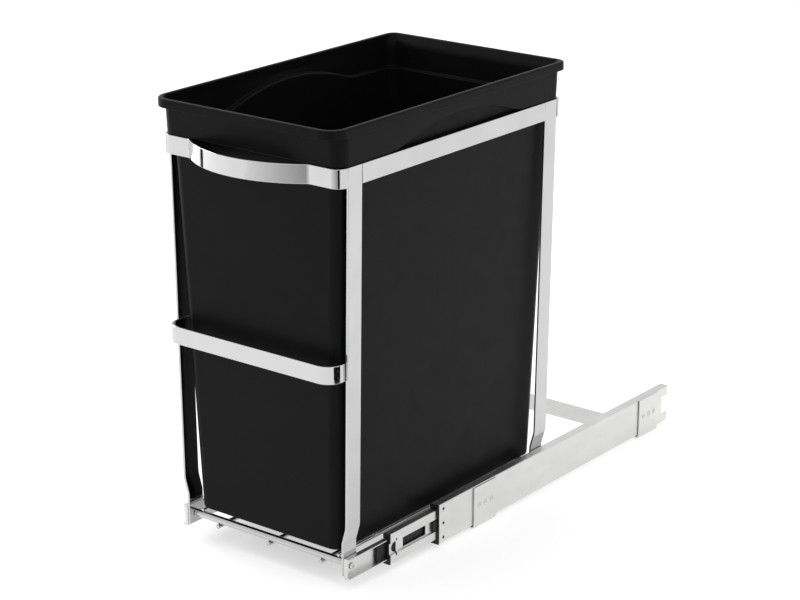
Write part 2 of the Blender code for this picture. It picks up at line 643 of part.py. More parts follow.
def bucket_profile():
    """Outline, height and lift of each level: up outside, over the rim and down inside."""
    skirt_wall, crown, below = 0.0015, 0.0024, 0.0060
    hollow = (COLLAR_TOP[0] + 0.0001, COLLAR_TOP[1] - 0.0030, COLLAR_TOP[2] + 0.0020,
              COLLAR_TOP[3] + 0.001, COLLAR_TOP[4])
    outside = [(shrunk(BODY_BOTTOM, FOOT_RADIUS), BASE_Z, 0),
               (BODY_BOTTOM, BASE_Z + FOOT_RADIUS, 0), (BODY_TOP, SHOULDER_Z - below, 0),
               (BODY_TOP, SHOULDER_Z, 1), (COLLAR_BOTTOM, SHOULDER_Z, 1),
               (COLLAR_TOP, SKIRT_BOTTOM, 0), (hollow, RIM_TOP - 0.0040, 0),
               (shrunk(RIM, skirt_wall), RIM_TOP - 0.0040, 0),
               (shrunk(RIM, skirt_wall), SKIRT_BOTTOM, 0)]
    rim = [(RIM, SKIRT_BOTTOM, 0), (RIM, RIM_TOP - crown, 0),
           (shrunk(RIM, 0.0007), RIM_TOP - 0.0007, 0), (shrunk(RIM, crown), RIM_TOP, 0),
           (shrunk(RIM, 0.0032), RIM_TOP, 0), (shrunk(RIM, 0.0042), RIM_TOP - 0.0010, 0)]
    inside = [(shrunk(COLLAR_TOP, WALL), SKIRT_BOTTOM - 0.001, 0),
              (shrunk(COLLAR_BOTTOM, WALL), SHOULDER_Z + WALL, 1),
              (shrunk(BODY_TOP, WALL), SHOULDER_Z + WALL, 1),
              (shrunk(BODY_TOP, WALL), SHOULDER_Z - below, 0),
              (shrunk(BODY_BOTTOM, WALL), BASE_Z + WALL + FOOT_RADIUS, 0),
              (shrunk(BODY_BOTTOM, WALL + FOOT_RADIUS), BASE_Z + WALL, 0)]
    return outside + rim + inside


def loft(loops):
    def build(bm):
        rings = [[bm.verts.new(point) for point in loop] for loop in loops]
        for lower, upper in zip(rings, rings[1:]):
            for i in range(len(lower)):
                j = (i + 1) % len(lower)
                bm.faces.new((lower[i], lower[j], upper[j], upper[i]))
        bm.faces.new(list(reversed(rings[0])))
        bm.faces.new(rings[-1])

    return mesh_from("bucket", build)


def add_bucket(carrier):
    mesh = loft([bucket_loop(*level) for level in bucket_profile()])
    smooth(mesh, math.radians(30))
    add_part("bucket", mesh, plastic, carrier)


# ---- assembly --------------------------------------------------------------------------------
def build():
    add_floor_plate("front_floor_plate", 0.0)
    add_floor_plate("rear_floor_plate", PLATE_SPACING)
    frame = new_empty("pull_out_frame", (0.0, FRAME_FRONT, SLIDE_MID_Z))
    for side, word in SIDES:
        add_cabinet_member(side, word)
        add_cabinet_stop(side, word)
        add_rear_buffer(side, word)
        middle = new_empty(f"intermediate_{word}_axis",
                           (side * INTERMEDIATE_WEB_X, INTERMEDIATE_FRONT, SLIDE_MID_Z))
        add_intermediate_member(side, word, middle)
        add_intermediate_stop(side, word, middle)
        outer = new_empty(f"outer_cage_{word}_axis", (side * BALL_X, OUTER_CAGE_Y, SLIDE_MID_Z))
        add_outer_cage(side, word, outer)
        inner = new_empty(f"inner_cage_{word}_axis", (side * BALL_X, INNER_CAGE_Y, SLIDE_MID_Z))
        add_inner_cage(side, word, inner)
        add_drawer_member(side, word, frame)
        add_guide_block(side, word, frame)
    add_posts(frame)
    add_front_handle(frame)
    add_top_band(frame)
    add_guard_bar(frame)
    add_tray(frame)
    add_screws(frame)
    lift = new_empty("bucket_lift_axis", (0.0, (RIM[1] + RIM[2]) / 2, SHOULDER_Z))
    lift.parent = frame
    lift.matrix_parent_inverse = Matrix.Translation(frame.location).inverted()
    add_bucket(lift)


clear_scene()
PARTS = new_collection("pull_out_bin")
CUTTERS = new_collection("cutters")
build()
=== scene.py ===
"""The finished look of a pull-out kitchen bin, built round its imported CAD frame.

Units are metres in the frame's own axes: +Z is up and the handle side faces -Y. Each visible
piece is modelled again here with rounded edges and stands for its CAD node.
"""
import json
import math

import bmesh
import bpy
import numpy as np
from mathutils import Matrix, Vector


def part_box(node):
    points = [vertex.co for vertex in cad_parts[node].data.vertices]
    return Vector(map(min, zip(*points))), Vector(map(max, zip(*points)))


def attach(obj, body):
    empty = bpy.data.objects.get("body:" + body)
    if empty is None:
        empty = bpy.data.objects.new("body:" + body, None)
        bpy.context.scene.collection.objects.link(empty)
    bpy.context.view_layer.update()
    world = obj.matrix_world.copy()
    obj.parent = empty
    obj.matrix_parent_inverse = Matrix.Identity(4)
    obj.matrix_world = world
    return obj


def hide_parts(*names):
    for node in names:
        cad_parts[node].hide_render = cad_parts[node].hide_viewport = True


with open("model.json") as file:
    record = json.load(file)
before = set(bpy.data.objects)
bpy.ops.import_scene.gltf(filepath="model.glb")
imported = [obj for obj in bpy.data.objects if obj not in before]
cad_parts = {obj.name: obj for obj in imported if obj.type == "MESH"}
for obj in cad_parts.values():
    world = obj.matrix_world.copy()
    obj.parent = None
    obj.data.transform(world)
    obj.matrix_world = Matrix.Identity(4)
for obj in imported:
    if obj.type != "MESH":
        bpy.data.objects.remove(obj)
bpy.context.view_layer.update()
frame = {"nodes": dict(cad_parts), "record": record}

# ---- driving dimensions ---------------------------------------------------------------------
GAP = 0.0003
RIGHT, LEFT = 1, -1
SIDES = ((LEFT, "left"), (RIGHT, "right"))
LOW, HIGH = 0, 1

SHEET, STRAP = 0.0012, 0.0025             # thickness of the slides' sheet and of the chromed strap
SHEET_EDGE, STRAP_EDGE = 0.00035, 0.0006  # rounding of their edges
CUT_CLEARANCE = 0.0010                    # how far a cutting tool starts outside a face

EAR_X, EAR_TOP, PLATE_THICKNESS, PLATE_BEND = 0.1210, 0.0480, 0.0018, 0.0035
PLATE_EDGE, PLATE_CUT_DEPTH = 0.0005, 0.0100
PLATE_HOLE_X, PLATE_HOLE_DIAMETER = 0.070, 0.0052
CLINCH_RADIUS, CLINCH_DEPTH, CLINCH_PITCH, CLINCH_BUTTON_RADIUS = 0.0032, 0.0012, 0.0111, 0.0012

CABINET_LIP_X, CABINET_LIP, CABINET_BEND = 0.1078, 0.0028, 0.0016
REAR_NOTCH_LENGTH, REAR_NOTCH_HALF = 0.0125, 0.0108
MOUTH_HOLE_Y, MOUTH_HOLE_PITCH, MOUTH_HOLE_RADIUS = 0.0072, 0.0165, 0.0018
WEB_CUT_REACH = 0.0045

INTERMEDIATE_RAIL, INTERMEDIATE_RECESS, INTERMEDIATE_STEP = 0.0100, 0.0020, 0.0008
INTERMEDIATE_BEND = 0.0014
LATCH_SLOT_Y, LATCH_SLOT_WIDTH, LATCH_SLOT_HALF = 0.0108, 0.0024, 0.0098
LATCH_ARC_LENGTH, LATCH_ARC_HALF, LATCH_ARC_OVERLAP = 0.0075, 0.0058, 0.0005
WINDOW_START, WINDOW_END, WINDOW_HALF = 0.0228, 0.0618, 0.0053

DRAWER_BEND, TAB_NOTCH_X, TAB_NOTCH_HALF = 0.0018, 0.1119, 0.0092
BALL_DIAMETER, BALL_PITCH, BALL_COUNT, BALL_X = 0.0040, 0.0500, 4, 0.1115
CAGE_THICKNESS, CAGE_EDGE, CAGE_LIP_X, CAGE_STEP = 0.0004, 0.00012, 0.1095, 0.0011
MOULDED_EDGE = 0.00025

RING_X, RING_REAR_Y, RING_REAR_RADIUS = 0.1180, 0.1372, 0.0100
POST_TOP_X, POST_BEND_X, POST_FOOT_X = 0.1179, 0.1124, 0.1072
POST_BEND_Z, POST_FOOT_Z = 0.0700, 0.0520
POST_BEND_RADIUS, POST_FOOT_RADIUS = 0.0300, 0.0120
HANDLE_Y, HANDLE_CORNER_RADIUS, HANDLE_FLAT_X = -0.2402, 0.0124, 0.0780
HANDLE_BOW_RADIUS, HANDLE_KINK_RADIUS = 0.1275, 0.0070
GUARD_RADIUS = 0.0175

SCREW_Y_IN_POST, SCREW_HOLE_DIAMETER = 0.0112, 0.0046
SCREW_CUT_X, SCREW_CUT_DEPTH = 0.1000, 0.0120
SCREW_HEAD_HEIGHT, SCREW_HEAD_FLAT = 0.0019, 0.30          # the flat is a share of the radius
SCREW_TIP_RADIUS, SCREW_SHANK_RADIUS, SCREW_TIP_CHAMFER = 0.0016, 0.0020, 0.0004
CROSS_HALF_LENGTH, CROSS_HALF_WIDTH, CROSS_DEPTH = 0.0018, 0.0004, 0.0010
WIRE_END = 0.0007                         # rounding of the wires' cut ends

# the bucket's outlines seen from above: half width, front, rear, front radius, rear radius
RIM = (0.1200, -0.2515, 0.1437, 0.0205, 0.0125)
RIM_HOLLOW = (0.1177, -0.2432, 0.1382, 0.0160, 0.0130)
COLLAR_TOP = (0.1176, -0.2402, 0.1362, 0.0150, 0.0130)
COLLAR_BOTTOM = (0.1167, -0.2390, 0.1352, 0.0145, 0.0125)
BODY_TOP = (0.1108, -0.2330, 0.1293, 0.0130, 0.0130)
BODY_BOTTOM = (0.0965, -0.2215, 0.1225, 0.0140, 0.0140)
WALL, SKIRT_DEPTH, SKIRT_WALL, RIM_HOLLOW_DEPTH = 0.0025, 0.0094, 0.0015, 0.0040
RIM_CROWN, RIM_INNER_RUN, BUCKET_FOOT, SHOULDER_DEPTH = 0.0024, 0.0028, 0.0025, 0.0060
CAP_INSET, LEAST_RADIUS = 0.0010, 0.0020
EASE_LIMIT = 0.45                         # the most of a wall that one rounding may take up
GRIP_RADIUS, GRIP_TOP_Z, GRIP_MID_Y, GRIP_BLEND = 0.2540, 0.4712, -0.0450, 0.0040

ARC_STEPS, STRAP_CORNER_STEPS, RING_REAR_STEPS = 14, 24, 20
CABINET_BEND_STEPS, INTERMEDIATE_BEND_STEPS, DRAWER_BEND_STEPS = 6, 5, 8
LATCH_ARC_STEPS, BALL_SEGMENTS, BALL_RINGS = 20, 20, 12
EDGE_STEPS, END_STEPS, WIRE_END_STEPS, DOME_STEPS = 4, 3, 4, 8
BOW_STEPS, KINK_STEPS = 40, 10
BUCKET_CORNER_STEPS, BUCKET_SIDE_STEPS, BUCKET_EASE_STEPS = 16, 150, 5
ROUND_SEGMENTS, CLINCH_SEGMENTS, HOLE_SEGMENTS = 48, 32, 24
NOISE_LOW, NOISE_HIGH = 0.3, 0.7          # the range that most of a noise's values fall in

BODY_OF = {node: body for body, nodes in frame["record"]["behaviour"]["bodies"].items()
           for node in nodes}
SLIDE_MID_Z = (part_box("cabinet_member_right")[LOW].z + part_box("cabinet_member_right")[HIGH].z) / 2
RING_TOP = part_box("side_rail_right")[HIGH].z
SHOULDER_Z = RING_TOP + GAP


# ---- material helpers ------------------------------------------------------------------------
class Nodes:
    """A material's node tree, with short calls for the nodes that the finishes share."""

    def __init__(self, name):
        self.material = bpy.data.materials.new(name)
        self.material.use_nodes = True
        self.tree = self.material.node_tree
        self.shader = self.tree.nodes["Principled BSDF"]
        self.place = self.add("ShaderNodeTexCoord").outputs["Object"]

    def add(self, kind, **values):
        node = self.tree.nodes.new(kind)
        for key, value in values.items():
            setattr(node, key, value)
        return node

    def link(self, source, target):
        self.tree.links.new(source, target)

    def noise(self, scale, detail=3.0, stretch=(1.0, 1.0, 1.0)):
        mapping = self.add("ShaderNodeMapping")
        mapping.inputs["Scale"].default_value = stretch
        self.link(self.place, mapping.inputs["Vector"])
        noise = self.add("ShaderNodeTexNoise")
        noise.inputs["Scale"].default_value = scale
        noise.inputs["Detail"].default_value = detail
        self.link(mapping.outputs["Vector"], noise.inputs["Vector"])
        return noise.outputs["Fac"]

    def spread(self, value, low, high):
        """The middle of a noise's range carried to low..high."""
        node = self.add("ShaderNodeMapRange")
        node.inputs["From Min"].default_value = NOISE_LOW
        node.inputs["From Max"].default_value = NOISE_HIGH
        node.inputs["To Min"].default_value = low
        node.inputs["To Max"].default_value = high
        self.link(value, node.inputs["Value"])
        return node.outputs["Result"]

    def colour(self, value, low, high):
        mix = self.add("ShaderNodeMix", data_type="RGBA")
        mix.inputs["A"].default_value = (*low, 1.0)
        mix.inputs["B"].default_value = (*high, 1.0)
        self.link(self.spread(value, 0.0, 1.0), mix.inputs["Factor"])
        self.link(mix.outputs["Result"], self.shader.inputs["Base Color"])

    def rough(self, value, low, high):
        self.link(self.spread(value, low, high), self.shader.inputs["Roughness"])

    def bump(self, value, distance, strength=1.0, over=None):
        node = self.add("ShaderNodeBump")
        node.inputs["Distance"].default_value = distance
        node.inputs["Strength"].default_value = strength
        self.link(value, node.inputs["Height"])
        if over is not None:
            self.link(over, node.inputs["Normal"])
        self.link(node.outputs["Normal"], self.shader.inputs["Normal"])
        return node.outputs["Normal"]

    def set(self, **values):
        for name, value in values.items():
            self.shader.inputs[name.replace("_", " ")].default_value = value


def bucket_plastic():
    """Satin moulded polypropylene: a fine even grain over slow ripples in the wall."""
    nodes = Nodes("bucket_plastic")
    nodes.set(Specular_IOR_Level=0.07)
    nodes.colour(nodes.noise(9.0), (0.0030, 0.0030, 0.0031), (0.0042, 0.0042, 0.0044))
    nodes.rough(nodes.noise(55.0, 4.0), 0.34, 0.44)
    ripples = nodes.bump(nodes.noise(14.0, 1.0), 0.0010, 0.30)
    nodes.bump(nodes.noise(1500.0, 2.0), 0.00010, 0.45, ripples)
    return nodes.material


def nose_plastic():
    """Matt moulded acetal."""
    nodes = Nodes("nose_plastic")
    nodes.set(Specular_IOR_Level=0.30)
    nodes.colour(nodes.noise(120.0), (0.0030, 0.0030, 0.0030), (0.0065, 0.0065, 0.0065))
    nodes.rough(nodes.noise(300.0), 0.45, 0.60)
    nodes.bump(nodes.noise(2200.0), 0.00008, 0.5)
    return nodes.material


def chrome(name, ripple):
    """Bright chromium plate: nearly a mirror, with the faint ripple of rolled strap or drawn wire."""
    nodes = Nodes(name)
    nodes.set(Metallic=1.0)
    nodes.colour(nodes.noise(26.0, 2.0), (0.525, 0.525, 0.528), (0.560, 0.560, 0.560))
    nodes.rough(nodes.noise(160.0, 4.0), 0.050, 0.100)
    nodes.bump(nodes.noise(42.0, 1.0), ripple, 0.25)
    return nodes.material


def zinc():
    """Bright zinc on rolled sheet: long rolling marks under a faint cloudy mottle."""
    nodes = Nodes("zinc_steel")
    nodes.set(Metallic=1.0)
    cloud = nodes.noise(70.0, 5.0, (1.0, 0.45, 1.0))
    grain = nodes.noise(700.0, 3.0, (1.0, 0.04, 1.0))
    nodes.colour(cloud, (0.640, 0.640, 0.632), (0.700, 0.700, 0.692))
    nodes.rough(cloud, 0.30, 0.40)
    nodes.bump(grain, 0.00006, 0.5, nodes.bump(cloud, 0.0004, 0.08))
    return nodes.material


def screw_zinc():
    """Zinc on a turned and rolled screw: finer and glossier than on the sheet."""
    nodes = Nodes("screw_steel")
    nodes.set(Metallic=1.0)
    nodes.colour(nodes.noise(400.0), (0.600, 0.600, 0.590), (0.720, 0.720, 0.715))
    nodes.rough(nodes.noise(900.0), 0.18, 0.30)
    nodes.bump(nodes.noise(1600.0), 0.00005, 0.4)
    return nodes.material


BUCKET_PLASTIC, NOSE_PLASTIC = bucket_plastic(), nose_plastic()
STRAP_CHROME, WIRE_CHROME = chrome("strap_chrome", 0.00022), chrome("wire_chrome", 0.00012)
ZINC, SCREW_ZINC = zinc(), screw_zinc()


# ---- mesh helpers ----------------------------------------------------------------------------
def mesh_from(name, build):
    bm = bmesh.new()
    build(bm)
    bmesh.ops.recalc_face_normals(bm, faces=bm.faces)
    mesh = bpy.data.meshes.new(name)
    bm.to_mesh(mesh)
    bm.free()
    return mesh


def link_loops(bm, loops):
    """Walls between closed loops of equal length, capped at both ends."""
    rings = [[bm.verts.new(point) for point in loop] for loop in loops]
    for near, far in zip(rings, rings[1:]):
        for i in range(len(near)):
            j = (i + 1) % len(near)
            bm.faces.new((near[i], near[j], far[j], far[i]))
    bm.faces.new(list(reversed(rings[0])))
    bm.faces.new(rings[-1])


def loft(name, loops):
    return mesh_from(name, lambda bm: link_loops(bm, loops))


def joined(name, meshes):
    """Several meshes as one."""
    bm = bmesh.new()
    for mesh in meshes:
        bm.from_mesh(mesh)
        bpy.data.meshes.remove(mesh)
    whole = bpy.data.meshes.new(name)
    bm.to_mesh(whole)
    bm.free()
    return whole


def cut(mesh, tools):
    """The mesh less each tool mesh."""
    body = bpy.data.objects.new("cut_body", mesh)
    bpy.context.scene.collection.objects.link(body)
    cutters = []
    for tool in tools:
        cutter = bpy.data.objects.new("cutter", tool)
        bpy.context.scene.collection.objects.link(cutter)
        modifier = body.modifiers.new("cut", "BOOLEAN")
        modifier.operation, modifier.solver, modifier.object = "DIFFERENCE", "EXACT", cutter
        cutters.append(cutter)
    evaluated = body.evaluated_get(bpy.context.evaluated_depsgraph_get())
    result = bpy.data.meshes.new_from_object(evaluated)
    for item in cutters + [body]:
        bpy.data.objects.remove(item, do_unlink=True)
    return result


def add_piece(mesh, material, *nodes, sharp=40.0):
    """A finished piece that stands for one or more CAD nodes of one body."""
    mesh.materials.clear()
    mesh.materials.append(material)
    mesh.shade_smooth()
    mesh.set_sharp_from_angle(angle=math.radians(sharp))
    piece = bpy.data.objects.new(f"{nodes[0]}_finished", mesh)
    bpy.context.scene.collection.objects.link(piece)
    flat = piece.modifiers.new("flat_faces", "WEIGHTED_NORMAL")
    flat.keep_sharp = True
    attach(piece, BODY_OF[nodes[0]])
    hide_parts(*nodes)
    return piece


def block(low, high):
    size = [h - l for l, h in zip(low, high)]
    middle = [(l + h) / 2 for l, h in zip(low, high)]
    matrix = Matrix.Translation(middle) @ Matrix.Diagonal((*size, 1.0))
    return mesh_from("block", lambda bm: bmesh.ops.create_cube(bm, size=1.0, matrix=matrix))


def turned(start, direction, profile, segments=ROUND_SEGMENTS):
    """A solid of revolution: profile is distance along the axis and radius, end to end."""
    turn = Vector(direction).to_track_quat("Z", "Y")
    loops = [[Vector(start) + turn @ Vector((radius * math.cos(math.tau * i / segments),
                                             radius * math.sin(math.tau * i / segments), along))
              for i in range(segments)] for along, radius in profile]
    return loft("turned", loops)


def quarter_turn(steps):
    """Angles from 0 to 90 degrees in equal steps, in radians."""
    return [math.radians(90 * i / steps) for i in range(steps + 1)]


def bore(start, direction, length, radius, segments=HOLE_SEGMENTS):
    """A plain cylinder that cuts a round hole."""
    return turned(start, direction, [(0.0, radius), (length, radius)], segments)


def wire(start, end, diameter):
    """A straight round wire with softly rounded ends."""
    length = (Vector(end) - Vector(start)).length
    near = [(WIRE_END * (1 - math.sin(a)), diameter / 2 - WIRE_END * (1 - math.cos(a)))
            for a in reversed(quarter_turn(WIRE_END_STEPS))]
    far = [(length - along, radius) for along, radius in reversed(near)]
    return turned(start, Vector(end) - Vector(start), near + far)


def ball(centre, diameter):
    return mesh_from("ball", lambda bm: bmesh.ops.create_uvsphere(
        bm, u_segments=BALL_SEGMENTS, v_segments=BALL_RINGS, radius=diameter / 2,
        matrix=Matrix.Translation(centre)))


# ---- strips of sheet -------------------------------------------------------------------------
def place(axis, flat, along):
    """A 3D point from a point in the plane across an axis and a distance along that axis."""
    a, b = flat
    return {"X": (along, a, b), "Y": (a, along, b), "Z": (a, b, along)}[axis]


def prism(outline, axis, low, high):
    """A closed outline pulled straight along an axis."""
    return loft("prism", [[place(axis, point, along) for point in outline]
                          for along in (low, high)])


def rounded(points, radii, steps=ARC_STEPS):
    """An open polyline with its inner corners turned into arcs; a radius of 0 keeps a corner."""
    path = [Vector(points[0])]
    for before, corner, after, radius in zip(points, points[1:], points[2:], radii):
        before, corner, after = Vector(before), Vector(corner), Vector(after)
        if radius == 0.0:
            path.append(corner)
            continue
        back, ahead = (before - corner).normalized(), (after - corner).normalized()
        half = back.angle(ahead) / 2
        centre = corner + (back + ahead).normalized() * radius / math.sin(half)
        start = corner + back * radius / math.tan(half) - centre
        sweep = start.angle_signed(corner + ahead * radius / math.tan(half) - centre)
        path += [centre + Matrix.Rotation(-sweep * i / steps, 2) @ start for i in range(steps + 1)]
    path.append(Vector(points[-1]))
    return path


def mirrored(path):
    """The same path on the other side, walked so that it keeps its outer face."""
    return [Vector((-point[0], point[1])) for point in reversed(path)]


def for_side(side, path):
    return path if side == RIGHT else mirrored(path)


def section(thickness, low, high, edge, inset):
    """A rounded rectangle across a strip, drawn in by an inset: (depth, place along the axis)."""
    radius = max(edge - inset, edge / 10)
    near, far = inset + radius, thickness - inset - radius
    bottom, top = low + inset + radius, high - inset - radius
    corners = ((near, bottom, 180), (far, bottom, 270), (far, top, 0), (near, top, 90))
    return [(x + radius * math.cos(math.radians(start) + a),
             y + radius * math.sin(math.radians(start) + a))
            for x, y, start in corners for a in quarter_turn(EDGE_STEPS)]


def strip(path, axis, low, high, thickness, edge, flip=1):
    """A bar of sheet swept along a flat path, which is its outer face, with every edge rounded."""
    inward = flip * (1 if axis == "Z" else -1)
    points = np.array([tuple(point) for point in path])
    runs = np.diff(points, axis=0)
    runs /= np.linalg.norm(runs, axis=1)[:, None]
    across = inward * np.column_stack((-runs[:, 1], runs[:, 0]))
    before, after = np.vstack((across[:1], across)), np.vstack((across, across[-1:]))
    normals = before + after
    normals /= (normals * after).sum(axis=1)[:, None]      # mitred where the path has a corner
    ends = [(edge * (1 - math.cos(a)), edge * (1 - math.sin(a)))
            for a in quarter_turn(END_STEPS)]
    stations = [(points[0] + runs[0] * along, normals[0], inset) for along, inset in ends]
    stations += [(point, normal, 0.0) for point, normal in zip(points[1:-1], normals[1:-1])]
    stations += [(points[-1] - runs[-1] * along, normals[-1], inset)
                 for along, inset in reversed(ends)]
    loops = [[place(axis, point + normal * depth, along)
              for depth, along in section(thickness, low, high, edge, inset)]
             for point, normal, inset in stations]
    return loft("strip", loops)


def strap(name, path, axis="Z", flip=1):
    """A piece of chromed strap with the height, or for a post the width, of its CAD node."""
    low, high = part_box(name)
    span = (low.z, high.z) if axis == "Z" else (low.y, high.y)
    return strip(path, axis, *span, STRAP, STRAP_EDGE, flip)


# ---- floor plates ----------------------------------------------------------------------------
def clinch_groove(side, y):
    """The ring-shaped groove that a clinch joint leaves round its raised button."""
    outside = side * (EAR_X + CUT_CLEARANCE)
    sections = ((0.00, CLINCH_RADIUS + 0.0002), (0.60, CLINCH_RADIUS - 0.0001),
                (1.00, CLINCH_RADIUS - 0.0005), (1.00, CLINCH_BUTTON_RADIUS),
                (0.35, CLINCH_BUTTON_RADIUS - 0.0004))
    profile = [(0.0, CLINCH_RADIUS + 0.0004)] + [
        (CUT_CLEARANCE + share * CLINCH_DEPTH, radius) for share, radius in sections]
    return turned((outside, y, SLIDE_MID_Z), (-side, 0, 0), profile, CLINCH_SEGMENTS)


def add_floor_plates():
    for name in ("front_floor_plate", "rear_floor_plate"):
        low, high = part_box(name)
        path = [(-EAR_X, EAR_TOP), (-EAR_X, low.z), (EAR_X, low.z), (EAR_X, EAR_TOP)]
        plate = strip(rounded(path, (PLATE_BEND, PLATE_BEND)), "Y", low.y, high.y,
                      PLATE_THICKNESS, PLATE_EDGE, flip=-1)
        mid_y = (low.y + high.y) / 2
        tools = []
        for side in (LEFT, RIGHT):
            tools.append(bore((side * PLATE_HOLE_X, mid_y, -PLATE_CUT_DEPTH), (0, 0, 1),
                              2 * PLATE_CUT_DEPTH, PLATE_HOLE_DIAMETER / 2, ROUND_SEGMENTS))
            tools += [clinch_groove(side, mid_y + i * CLINCH_PITCH) for i in (-1, 0, 1)]
        add_piece(cut(plate, tools), ZINC, name)


# ---- slides ----------------------------------------------------------------------------------
def outer_x(node):
    """Distance of a right-hand node's outer face from the middle of the bin."""
    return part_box(node)[HIGH].x


def web_cut(side, x):
    """The span along X that passes right through a web that stands at x."""
    return sorted((side * (x - WEB_CUT_REACH), side * (x + WEB_CUT_REACH)))


def through(side, x, y_low, y_high, half_height):
    """A box that cuts a window through a web that stands at x."""
    inner, outer = web_cut(side, x)
    return block((inner, y_low, SLIDE_MID_Z - half_height),
                 (outer, y_high, SLIDE_MID_Z + half_height))


def add_cabinet_members():
    """Lipped channels with three holes at the mouth and a notch at the rear."""
    web_x = outer_x("cabinet_member_right")
    for side, word in SIDES:
        name = f"cabinet_member_{word}"
        low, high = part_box(name)
        path = [(CABINET_LIP_X, high.z - CABINET_LIP), (CABINET_LIP_X, high.z), (web_x, high.z),
                (web_x, low.z), (CABINET_LIP_X, low.z), (CABINET_LIP_X, low.z + CABINET_LIP)]
        member = strip(for_side(side, rounded(path, (CABINET_BEND,) * 4, CABINET_BEND_STEPS)),
                       "Y", low.y, high.y, SHEET, SHEET_EDGE)
        tools = [through(side, web_x, high.y - REAR_NOTCH_LENGTH, high.y + CUT_CLEARANCE,
                         REAR_NOTCH_HALF)]
        for i in (-1, 0, 1):
            start = (side * (web_x + WEB_CUT_REACH), low.y + MOUTH_HOLE_Y,
                     SLIDE_MID_Z + i * MOUTH_HOLE_PITCH)
            tools.append(bore(start, (-side, 0, 0), 2 * WEB_CUT_REACH, MOUTH_HOLE_RADIUS))
        add_piece(cut(member, tools), ZINC, name)


def intermediate_half(web_x):
    """The upper half of the middle member's outer face, from its lip to its recess."""
    low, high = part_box("intermediate_member_right")
    half = (high.z - low.z) / 2
    rail, deep = half - INTERMEDIATE_RAIL, web_x - INTERMEDIATE_RECESS
    return [(low.x, half), (web_x, half), (web_x, rail), (deep, rail - INTERMEDIATE_STEP)]


def add_intermediate_members():
    """Recessed channels, each with the latch's slot and a long window near its front end."""
    web_x = outer_x("intermediate_member_right")
    upper = intermediate_half(web_x)
    flat = [(x, SLIDE_MID_Z + z) for x, z in upper + [(x, -z) for x, z in reversed(upper)]]
    path = rounded(flat, (INTERMEDIATE_BEND, 0.0, 0.0, 0.0, 0.0, INTERMEDIATE_BEND),
                   INTERMEDIATE_BEND_STEPS)
    for side, word in SIDES:
        name = f"intermediate_member_{word}"
        low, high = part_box(name)
        member = strip(for_side(side, path), "Y", low.y, high.y, SHEET, SHEET_EDGE)
        slot_y = low.y + LATCH_SLOT_Y
        turns = [math.radians(90 + 180 * i / LATCH_ARC_STEPS) for i in range(LATCH_ARC_STEPS + 1)]
        arc = [(slot_y - LATCH_ARC_OVERLAP + LATCH_ARC_LENGTH * math.cos(a),
                SLIDE_MID_Z + LATCH_ARC_HALF * math.sin(a)) for a in turns]
        tools = [through(side, web_x, low.y + WINDOW_START, low.y + WINDOW_END, WINDOW_HALF),
                 through(side, web_x, slot_y - LATCH_SLOT_WIDTH, slot_y, LATCH_SLOT_HALF),
                 prism(arc, "X", *web_cut(side, web_x))]
        add_piece(cut(member, tools), ZINC, name)


def screw_hole(side, post_y):
    return bore((side * SCREW_CUT_X, post_y + SCREW_Y_IN_POST, SLIDE_MID_Z), (side, 0, 0),
                SCREW_CUT_DEPTH, SCREW_HOLE_DIAMETER / 2)


def post_fronts():
    """Where the front and the rear posts start along Y."""
    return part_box("front_post_right")[LOW].y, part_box("rear_post_right")[LOW].y


def drawer_path(inset):
    """Outer face of the drawer member, or its outline drawn in by an inset."""
    low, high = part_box("drawer_member_right")
    path = [(high.x - inset, low.z + inset), (low.x + inset, low.z + inset),
            (low.x + inset, high.z - inset), (high.x - inset, high.z - inset)]
    return rounded(path, (DRAWER_BEND - inset,) * 2, DRAWER_BEND_STEPS)


def add_drawer_members():
    """Channels open towards the cabinet, each closed at the front by a notched tab."""
    high_x = outer_x("drawer_member_right") - GAP
    for side, word in SIDES:
        name = f"drawer_member_{word}"
        low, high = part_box(name)
        member = strip(for_side(side, drawer_path(0.0)), "Y", low.y, high.y, SHEET, SHEET_EDGE)
        notch = [(x, SLIDE_MID_Z + z) for x, z in
                 ((high_x, TAB_NOTCH_HALF), (TAB_NOTCH_X, TAB_NOTCH_HALF),
                  (TAB_NOTCH_X, -TAB_NOTCH_HALF), (high_x, -TAB_NOTCH_HALF))]
        tab = prism(for_side(side, drawer_path(GAP) + notch), "Y", low.y + GAP, low.y + GAP + SHEET)
        member = joined(name, [cut(member, [screw_hole(side, y) for y in post_fronts()]), tab])
        add_piece(member, ZINC, name)


def add_cage(name, side, half_path, ball_height):
    """A ball cage: a thin channel with a row of steel balls in each edge."""
    low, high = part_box(name)
    lower = [(x, -z) for x, z in reversed(half_path)]
    path = [Vector((x, SLIDE_MID_Z + z)) for x, z in half_path + lower]
    channel = strip(for_side(side, path), "Y", low.y, high.y, CAGE_THICKNESS, CAGE_EDGE)
    first = (low.y + high.y - (BALL_COUNT - 1) * BALL_PITCH) / 2
    balls = [ball((side * BALL_X, first + i * BALL_PITCH, SLIDE_MID_Z + sign * ball_height),
                  BALL_DIAMETER) for i in range(BALL_COUNT) for sign in (-1, 1)]
    add_piece(joined(name, [channel] + balls), ZINC, name)


def half_height(node):
    low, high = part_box(node)
    return (high.z - low.z) / 2


